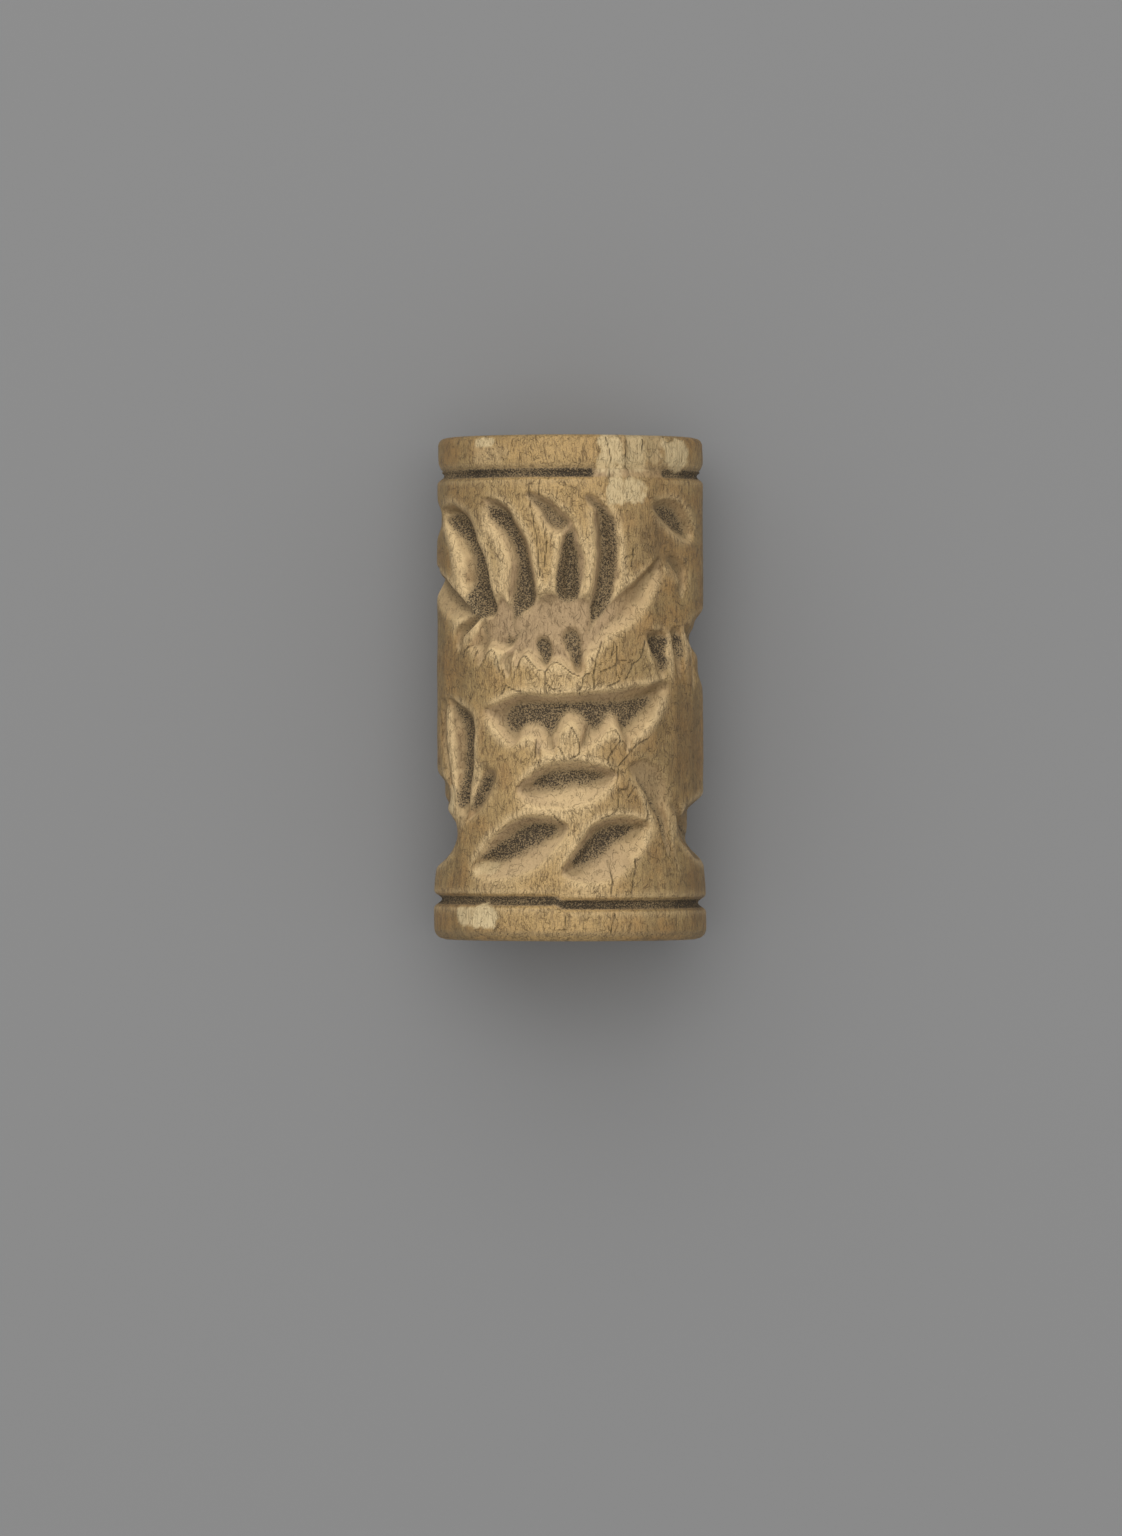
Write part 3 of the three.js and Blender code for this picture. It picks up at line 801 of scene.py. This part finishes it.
# The hand's unsteadiness in the carving, in degrees and millimetres
WANDER_DEGREES = 0.7
WANDER_HEIGHT = 0.05
WANDER_CELL = 1.2

# The finish of the carved skin
WEAR_PASSES = 2
CRACK_HALF_WIDTH = 0.11
CRACK_DEPTH = 0.02
GRIT_HEIGHT = 0.03
GRIT_CELL = 0.16

# The depths and the slope at which the masks for the material reach 1, and where the front is
# painted lighter and golden as painted light
CUT_DEPTH = 0.2
RING_CUT_DEPTH = 0.1
WALL_SLOPE = 0.8
SHADE_PASSES = 40
SHADE_DEPTH = 0.12
LIT_FRONT_DEGREES = -8
LIT_FRONT_REACH = 52


def carve_skin(degrees, height):
    """The outside's radius, and masks for its finish and for its painted light and shade."""
    wandering = degrees + WANDER_DEGREES * fractal(degrees, height, WANDER_CELL, 11)
    wandering_height = height + WANDER_HEIGHT * fractal(degrees, height, WANDER_CELL, 21)
    drawn = (wandering_height - FIELD_BOTTOM) / UNIT
    on_field = (height > FIELD_BOTTOM) & (height < FIELD_TOP)
    depth, dirt = carved(wandering, drawn)
    for places, half_width, rise in LIPS:
        depth = depth - rise * smooth(lines_near([places], wandering, drawn, half_width))
    dips = sum(hollow_depth(hollow, degrees, drawn) for hollow in HOLLOWS)
    depth, dirt = depth * on_field, np.maximum(dirt, dip_dirt(dips)) * on_field
    rings = foot_ring(degrees, height) + head_ring(degrees, height)
    flaked, pale = flaked_and_pale(degrees, height)
    cut_away = softened(depth + dips * on_field + flaked + rings, WEAR_PASSES)
    worn_depth = softened(depth)
    # the dirt also holds the painted shade on the head rim's lower edge
    dirt = np.maximum(softened(dirt), ring_dirt_and_head_edge_shade(degrees, height, rings) * (1 - pale))

    cracks = np.maximum(
        lines_near(CRACKS, wandering, drawn, CRACK_HALF_WIDTH) * on_field,
        lines_near(RIM_CRACKS, wandering, height / UNIT, CRACK_HALF_WIDTH),
    )
    grit = GRIT_HEIGHT * noise(degrees, height, GRIT_CELL, 41) * dirt
    surface = blank_radius(height) - cut_away - unevenness(degrees, height)
    climb = np.gradient(worn_depth, axis=0) / np.gradient(height, axis=0)
    masks = {
        "cut": np.maximum(smooth(worn_depth / CUT_DEPTH), smooth(rings / RING_CUT_DEPTH)),
        "dirt": dirt,
        "pale": pale,
        # the carving's curvature: painted shade in the hollows, and raised edges lighter as edge
        # wear and painted light
        "shade": (cut_away - softened(cut_away, SHADE_PASSES)) / SHADE_DEPTH,
        "cracks": cracks,
        # painted light: 1 on the front, turned to the lamps, fading towards the sides
        "centre": smooth((LIT_FRONT_REACH - np.abs(degrees - LIT_FRONT_DEGREES)) / LIT_FRONT_REACH),
        # painted light and shade: walls that face the head are painted lighter, walls that face the
        # foot darker
        "facing": np.clip(climb / WALL_SLOPE, -1, 1),
        "honey": stained(HONEY_PLACES, degrees, height),
        "worn": stained(WORN_PLACES, degrees, height),
        # painted shade: the right side, turned away from the light, browner
        "browned": stained(RIGHT_SIDE_SHADE_PLACES, degrees, height),
    }
    return surface - grit - CRACK_DEPTH * cracks, masks


# The mesh


def column_degrees():
    """Where the skin's columns stand, crowded together at the front."""
    turn = 2 * math.pi * np.arange(COLUMNS) / COLUMNS
    return np.degrees(turn - FRONT_CROWDING * np.sin(turn))


def row_heights():
    """Heights of the skin's rows, from the foot end to the head end."""
    edges = [
        (0, CORNER_ROWS),
        (WORN_FOOT_ROUNDING, RIM_ROWS),
        (FOOT_RIM_LENGTH - RING_MARGIN, RING_ROWS),
        (FIELD_BOTTOM + RING_MARGIN, FIELD_ROWS),
        (FIELD_TOP - RING_MARGIN, RING_ROWS),
        (HEAD_RIM_BOTTOM + RING_MARGIN, RIM_ROWS),
        (LENGTH - RIM_ROUNDING, CORNER_ROWS),
        (LENGTH, 0),
    ]
    spans = [
        np.linspace(low, high, count, endpoint=False)
        for (low, count), (high, _) in zip(edges, edges[1:])
    ]
    return np.concatenate([*spans, [LENGTH]])


# Dirt on the ends, how much more lies beside the hole, and dirt in the hole
END_DIRT = 0.15
BESIDE_HOLE_DIRT = 0.3
MOUTH_DIRT = 0.55
HOLE_DIRT = 0.75


def plain_loop(radius, height, dirt):
    return np.full(COLUMNS, radius), np.full(COLUMNS, height), dirt


def end_loops(outer_radius, outer_height, end_height):
    """Loops from the outside in over one end, then round the worn mouth of the hole. Each is its
    radius, its height and its dirt."""
    mouth = HOLE_RADIUS + HOLE_MOUTH
    inward = -1 if end_height > 0 else 1
    loops = []
    for i in range(1, END_LOOPS + 1):
        share = i / END_LOOPS
        radius = outer_radius * (1 - share) + mouth * share
        height = outer_height * (1 - share) + end_height * share
        loops.append((radius, height, END_DIRT + BESIDE_HOLE_DIRT * share**3))
    for i in range(1, MOUTH_LOOPS + 1):
        turn = (i / MOUTH_LOOPS) * math.pi / 2
        radius = mouth - HOLE_MOUTH * math.sin(turn)
        sunk = HOLE_MOUTH * (1 - math.cos(turn))
        loops.append(plain_loop(radius, end_height + inward * sunk, MOUTH_DIRT))
    return loops


def skin():
    """Every loop of the skin: up the outside, over the head, down the hole, and over the foot."""
    around = column_degrees()
    degrees, height = np.meshgrid(wrap_degrees(around), row_heights())
    radius, masks = carve_skin(degrees, height)
    head = end_loops(radius[-1], height[-1], LENGTH)
    foot = end_loops(radius[0], height[0], 0)
    down_hole = np.linspace(LENGTH - HOLE_MOUTH, HOLE_MOUTH, HOLE_LOOPS + 2)[1:-1]
    hole = [plain_loop(HOLE_RADIUS, h, HOLE_DIRT) for h in down_hole]
    hidden = head + hole + foot[::-1]
    hidden_radius, hidden_height, hidden_dirt = zip(*hidden)
    radius = np.vstack([radius, *hidden_radius])
    height = np.vstack([height, *hidden_height])
    plain = np.zeros((len(hidden), COLUMNS))
    on_hidden = {"dirt": plain + np.array(hidden_dirt)[:, None], "end": plain + 1}
    masks["end"] = np.zeros(degrees.shape)
    masks = {name: np.vstack([mask, on_hidden.get(name, plain)]) for name, mask in masks.items()}
    return np.tile(around, (len(radius), 1)), height, radius, masks


def build_seal():
    """The skin as one closed mesh, lying on its small flat."""
    degrees, height, radius, masks = skin()
    turned = np.radians(degrees)
    x = radius * np.sin(turned)
    y = height - LENGTH / 2
    z = np.maximum(0, AXIS_ABOVE_SURFACE + radius * np.cos(turned))
    points = np.stack([x, y, z], axis=-1).reshape(-1, 3) * MM
    rows = len(radius)
    a = np.arange(rows * COLUMNS).reshape(rows, COLUMNS)
    b = np.roll(a, -1, axis=1)
    c = np.roll(b, -1, axis=0)
    d = np.roll(a, -1, axis=0)
    quads = np.stack([a, b, c, d], axis=-1).reshape(-1, 4)
    mesh = bpy.data.meshes.new("seal")
    mesh.from_pydata(points.tolist(), [], quads.tolist())
    for name, mask in masks.items():
        attribute = mesh.attributes.new(name, "FLOAT", "POINT")
        attribute.data.foreach_set("value", mask.reshape(-1).astype(np.float32))
    mesh.shade_smooth()
    seal = bpy.data.objects.new("seal", mesh)
    bpy.context.scene.collection.objects.link(seal)
    return seal


# The material


class Nodes:
    """A short way to write a material's nodes."""

    def __init__(self, name):
        self.material = bpy.data.materials.new(name)
        self.material.use_nodes = True
        self.tree = self.material.node_tree
        self.shader = self.tree.nodes["Principled BSDF"]

    def put(self, value, socket):
        if isinstance(value, bpy.types.NodeSocket):
            self.tree.links.new(value, socket)
        else:
            socket.default_value = value

    def finish(self, **values):
        """Gives the shader its inputs, whose names are written with _ for a space."""
        for name, value in values.items():
            self.put(value, self.shader.inputs[name.replace("_", " ")])
        return self.material

    def add(self, kind, inputs, output=0, **settings):
        node = self.tree.nodes.new(kind)
        for name, value in settings.items():
            setattr(node, name, value)
        for name, value in inputs.items():
            self.put(value, node.inputs[name])
        return node.outputs[output]

    def mask(self, name):
        return self.add("ShaderNodeAttribute", {}, "Fac", attribute_name=name)

    def math(self, operation, a, b=0.0):
        return self.add("ShaderNodeMath", {0: a, 1: b}, operation=operation)

    def times(self, a, b):
        return self.math("MULTIPLY", a, b)

    def minus(self, a, b):
        return self.math("SUBTRACT", a, b)

    def ramp(self, value, low, high, to_low=0.0, to_high=1.0):
        """An easy slope from one number to another while the value goes from low to high."""
        inputs = {"Value": value, "From Min": low, "From Max": high}
        inputs.update({"To Min": to_low, "To Max": to_high})
        return self.add("ShaderNodeMapRange", inputs, interpolation_type="SMOOTHSTEP")

    def mix(self, share, a, b):
        inputs = {0: share, 6: a, 7: b}
        return self.add("ShaderNodeMix", inputs, 2, data_type="RGBA")

    def scaled(self, vector, scale):
        return self.add("ShaderNodeMapping", {"Vector": vector, "Scale": scale})

    def noise(self, vector, scale, detail, rough, output=0):
        inputs = {"Vector": vector, "Scale": scale, "Detail": detail, "Roughness": rough}
        return self.add("ShaderNodeTexNoise", inputs, output)

    def vector_math(self, operation, inputs):
        return self.add("ShaderNodeVectorMath", inputs, operation=operation)

    def wandering(self, vector, scale, reach):
        """The vector, moved about by noise up to that reach."""
        around = self.noise(vector, scale, 2.0, 0.5, "Color")
        centred = self.vector_math("SUBTRACT", {0: around, 1: (0.5, 0.5, 0.5)})
        moved = self.vector_math("SCALE", {0: centred, "Scale": reach})
        return self.vector_math("ADD", {0: vector, 1: moved})

    def growth_rings(self, vector):
        """Uneven rings round the seal's axis."""
        down_to_axis = (0, 0, -AXIS_ABOVE_SURFACE)
        on_axis = self.add("ShaderNodeMapping", {"Vector": vector, "Location": down_to_axis})
        inputs = {"Vector": on_axis, "Scale": 0.55}
        inputs.update({"Distortion": 1.6, "Detail": 3.0, "Detail Scale": 0.6})
        return self.add("ShaderNodeTexWave", inputs, 1, wave_type="RINGS", rings_direction="Y")

    def edges(self, vector, scale, width):
        """1 on the lines between cells and 0 elsewhere."""
        inputs = {"Vector": vector, "Scale": scale}
        far = self.add("ShaderNodeTexVoronoi", inputs, "Distance", feature="DISTANCE_TO_EDGE")
        return self.ramp(far, 0.0, width, 1.0, 0.0)


def colour(red, green, blue):
    """A colour given as 0 to 255 on the screen, as linear light."""
    channels = [((c / 255 + 0.055) / 1.055) ** 2.4 for c in (red, green, blue)]
    return (*channels, 1.0)


TAN = colour(174, 145, 94)
BRIGHT = colour(236, 205, 152)
LIT_FRONT_GOLD = colour(206, 170, 110)
HONEY = colour(172, 134, 80)
PINKISH = colour(182, 154, 118)
CREAM = colour(226, 202, 154)
BROWN = colour(106, 82, 50)
OLIVE = colour(118, 99, 64)
DIRT = colour(56, 45, 30)
GRIT = colour(148, 126, 90)
CRACK = colour(84, 68, 40)

SATIN = 0.5
MATT = 0.78
IVORY_IOR = 1.5
MASKS = (
    "cut", "dirt", "pale", "shade", "cracks", "centre", "facing", "honey", "worn", "browned", "end",
)


def ivory_patterns(n):
    """The skin's masks, and the patterns of the ivory, drawn in millimetres."""
    p = SimpleNamespace(**{name: n.mask(name) for name in MASKS})
    place = n.add("ShaderNodeTexCoord", {}, "Object")
    place = n.scaled(place, (1 / MM, 1 / MM, 1 / MM))
    # grain is fainter on cut walls, and fainter on walls facing the head as painted light
    p.busy = n.times(n.ramp(p.cut, 0.0, 1.0, 1.0, 0.6), n.ramp(p.facing, 0.1, 0.6, 1.0, 0.5))

    wavy = n.wandering(n.wandering(place, 0.6, 0.5), 2.4, 0.14)
    p.fibres = n.noise(n.scaled(wavy, (1.0, 0.12, 1.0)), 9.0, 3.0, 0.7)
    p.bands = n.noise(n.scaled(wavy, (1.0, 0.06, 1.0)), 1.3, 2.0, 0.5)
    p.blotches = n.noise(wavy, 0.45, 3.0, 0.6)
    p.mottle = n.noise(wavy, 2.2, 3.0, 0.6)
    p.grain = n.noise(place, 13.0, 2.0, 0.7)
    p.speckle = n.noise(place, 11.0, 2.0, 0.75)
    p.growth = n.growth_rings(place)

    curls = n.noise(n.scaled(n.wandering(place, 1.1, 0.8), (1.0, 0.3, 1.0)), 2.4, 2.0, 0.6)
    off_line = n.math("ABSOLUTE", n.minus(curls, 0.5))
    lines = n.times(n.ramp(off_line, 0.0, 0.032, 1.0, 0.0), n.ramp(p.mottle, 0.38, 0.56))
    p.lines = n.times(lines, n.minus(1.0, p.end))

    cells = n.scaled(n.wandering(place, 1.4, 0.5), (1.0, 0.85, 1.0))
    crackled = n.times(n.minus(1.0, p.cut), n.ramp(p.mottle, 0.42, 0.6, 0.0, 0.9))
    p.crackle = n.times(n.edges(cells, 1.1, 0.022), crackled)
    p.crack_lines = n.ramp(p.cracks, 0.35, 0.9)
    return p


def ivory_colour(n, p):
    """The ivory's colour: layers laid over tan, each with how much of it and its colour."""
    soil = n.minus(n.times(p.dirt, 0.32), n.minus(p.speckle, 0.36))
    tones = [
        (n.ramp(p.blotches, 0.36, 0.66), HONEY),
        (n.ramp(p.bands, 0.4, 0.7, 0.0, 0.45), OLIVE),
        # painted light: the front painted golden and lighter
        (n.times(p.centre, 0.85), LIT_FRONT_GOLD),
        (n.times(p.honey, 0.7), HONEY),
        # painted shade on the right side
        (n.times(p.browned, 0.32), BROWN),
        # cut walls pinkish, more so on the front as painted light
        (n.times(p.cut, n.ramp(p.centre, 0.0, 0.6, 0.45, 0.85)), PINKISH),
        (n.ramp(p.mottle, 0.45, 0.75, 0.0, 0.3), OLIVE),
        (n.times(p.worn, 0.4), BRIGHT),
    ]
    painted_light_shade_and_edge_wear = [
        # raised edges beside the cuts lighter: edge wear and painted light
        (n.ramp(p.shade, -0.2, -1.7, 0.0, 0.75), BRIGHT),
        # painted light and shade: walls facing the head lighter, walls facing the foot olive
        (n.ramp(p.facing, 0.15, 0.9, 0.0, 0.38), BRIGHT),
        (n.ramp(p.facing, -0.2, -1.0, 0.0, 0.3), OLIVE),
        # hollows of the carving darker: painted shade
        (n.ramp(p.shade, 0.2, 1.6, 0.0, 0.45), OLIVE),
        # more painted shade on the right side
        (n.times(p.browned, 0.2), BROWN),
    ]
    grain = [
        (n.times(p.busy, n.ramp(p.fibres, 0.36, 0.54, 0.5, 0.0)), BROWN),
        (n.times(p.busy, n.ramp(p.grain, 0.38, 0.54, 0.34, 0.0)), BROWN),
        (n.times(p.busy, n.times(p.lines, 0.6)), BROWN),
        (n.times(p.end, n.times(p.growth, 0.35)), BROWN),
        (n.times(p.end, n.ramp(p.blotches, 0.4, 0.6, 0.2, 0.6)), TAN),
        (n.times(p.pale, n.ramp(p.fibres, 0.34, 0.5, 0.35, 1.0)), CREAM),
    ]
    cracks_and_dirt = [
        (n.times(p.crackle, 0.5), CRACK),
        (n.times(p.crack_lines, 0.8), CRACK),
        (n.ramp(p.dirt, 0.1, 0.9, 0.0, 0.75), GRIT),
        (n.ramp(soil, 0.1, 0.22, 0.0, 0.95), DIRT),
    ]
    so_far = TAN
    for share, tint in tones + painted_light_shade_and_edge_wear + grain + cracks_and_dirt:
        so_far = n.mix(share, so_far, tint)
    return so_far


def ivory_bumps(n, p):
    """The finest unevenness of the ivory: its grain, its cracks and the grit in the dirt."""
    height = n.times(p.busy, n.times(p.fibres, 0.07))
    height = n.math("ADD", height, n.times(p.busy, n.times(p.grain, 0.05)))
    for cracks, depth in ((p.lines, 0.04), (p.crackle, 0.03), (p.crack_lines, 0.06)):
        height = n.minus(height, n.times(cracks, depth))
    height = n.math("ADD", height, n.times(n.times(p.speckle, p.dirt), 0.06))
    return n.add("ShaderNodeBump", {"Height": height, "Distance": MM, "Strength": 1.0})


def aged_ivory():
    n = Nodes("aged_ivory")
    p = ivory_patterns(n)
    roughness = n.ramp(p.cut, 0.0, 1.0, SATIN, MATT)
    bumps = ivory_bumps(n, p)
    return n.finish(Base_Color=ivory_colour(n, p), Roughness=roughness, IOR=IVORY_IOR, Normal=bumps)


# The staging. Its sizes are metres.
GREY_PAPER = (0.265, 0.265, 0.265, 1.0)
FLOOR_REACH = 1.5
DAYLIGHT = 0.5
# Each light's name, its direction from the seal, its distance, its size and its watts
LIGHTS = [
    ("key_light", (-0.25, 0.9, 0.85), 0.6, 0.8, 1.1),
    ("top_light", (0.0, 0.1, 1.0), 0.7, 0.6, 1.95),
]


def make_floor():
    low, high = -FLOOR_REACH, FLOOR_REACH
    corners = [(low, low, 0), (high, low, 0), (high, high, 0), (low, high, 0)]
    mesh = bpy.data.meshes.new("floor")
    mesh.from_pydata(corners, [], [(0, 1, 2, 3)])
    paper = Nodes("grey_paper")
    mesh.materials.append(
        paper.finish(Base_Color=GREY_PAPER, Roughness=0.9, Specular_IOR_Level=0.1)
    )
    floor = bpy.data.objects.new("floor", mesh)
    bpy.context.scene.collection.objects.link(floor)


def soft_light(name, towards, distance, size, watts):
    """A round soft light, that far from the seal in that direction, facing it."""
    light = bpy.data.lights.new(name, "AREA")
    light.shape = "DISK"
    light.size = size
    light.energy = watts
    lamp = bpy.data.objects.new(name, light)
    away = np.array(towards) / np.linalg.norm(towards)
    lamp.location = away * distance
    lamp.rotation_euler = mathutils.Vector(away).to_track_quat("Z", "Y").to_euler()
    bpy.context.scene.collection.objects.link(lamp)


def make_lights():
    for light in LIGHTS:
        soft_light(*light)
    world = bpy.data.worlds.new("studio")
    world.use_nodes = True
    background = world.node_tree.nodes["Background"]
    background.inputs["Color"].default_value = (1, 1, 1, 1)
    background.inputs["Strength"].default_value = DAYLIGHT
    bpy.context.scene.world = world


# The photograph is 1122 by 1536 pixels. In it the seal's axis runs 17.25 pixels to the millimetre.
# The lens is worked out for its longer side, to which Blender fits the sensor.
PHOTO_HEIGHT = 1536
PIXELS_PER_MM = 17.25
CAMERA_TO_AXIS = 539.0
SEAL_RIGHT_OF_MIDDLE = 0.53
SEAL_ABOVE_MIDDLE = 4.587
SENSOR = 36.0
NEAREST_SEEN = 0.01


def make_camera():
    """The camera looks straight down on the seal, with its head at the top of the picture."""
    data = bpy.data.cameras.new("camera")
    data.sensor_width = SENSOR
    data.lens = PIXELS_PER_MM * CAMERA_TO_AXIS / PHOTO_HEIGHT * SENSOR
    data.clip_start = NEAREST_SEEN
    camera = bpy.data.objects.new("camera", data)
    above = AXIS_ABOVE_SURFACE + CAMERA_TO_AXIS
    camera.location = (-SEAL_RIGHT_OF_MIDDLE * MM, -SEAL_ABOVE_MIDDLE * MM, above * MM)
    bpy.context.scene.collection.objects.link(camera)
    bpy.context.scene.camera = camera


make_floor()
make_lights()
make_camera()
bpy.context.scene.view_settings.view_transform = "Standard"

seal = build_seal()
seal.data.materials.append(aged_ivory())
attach(seal, "root")
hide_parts("cylinder_seal")
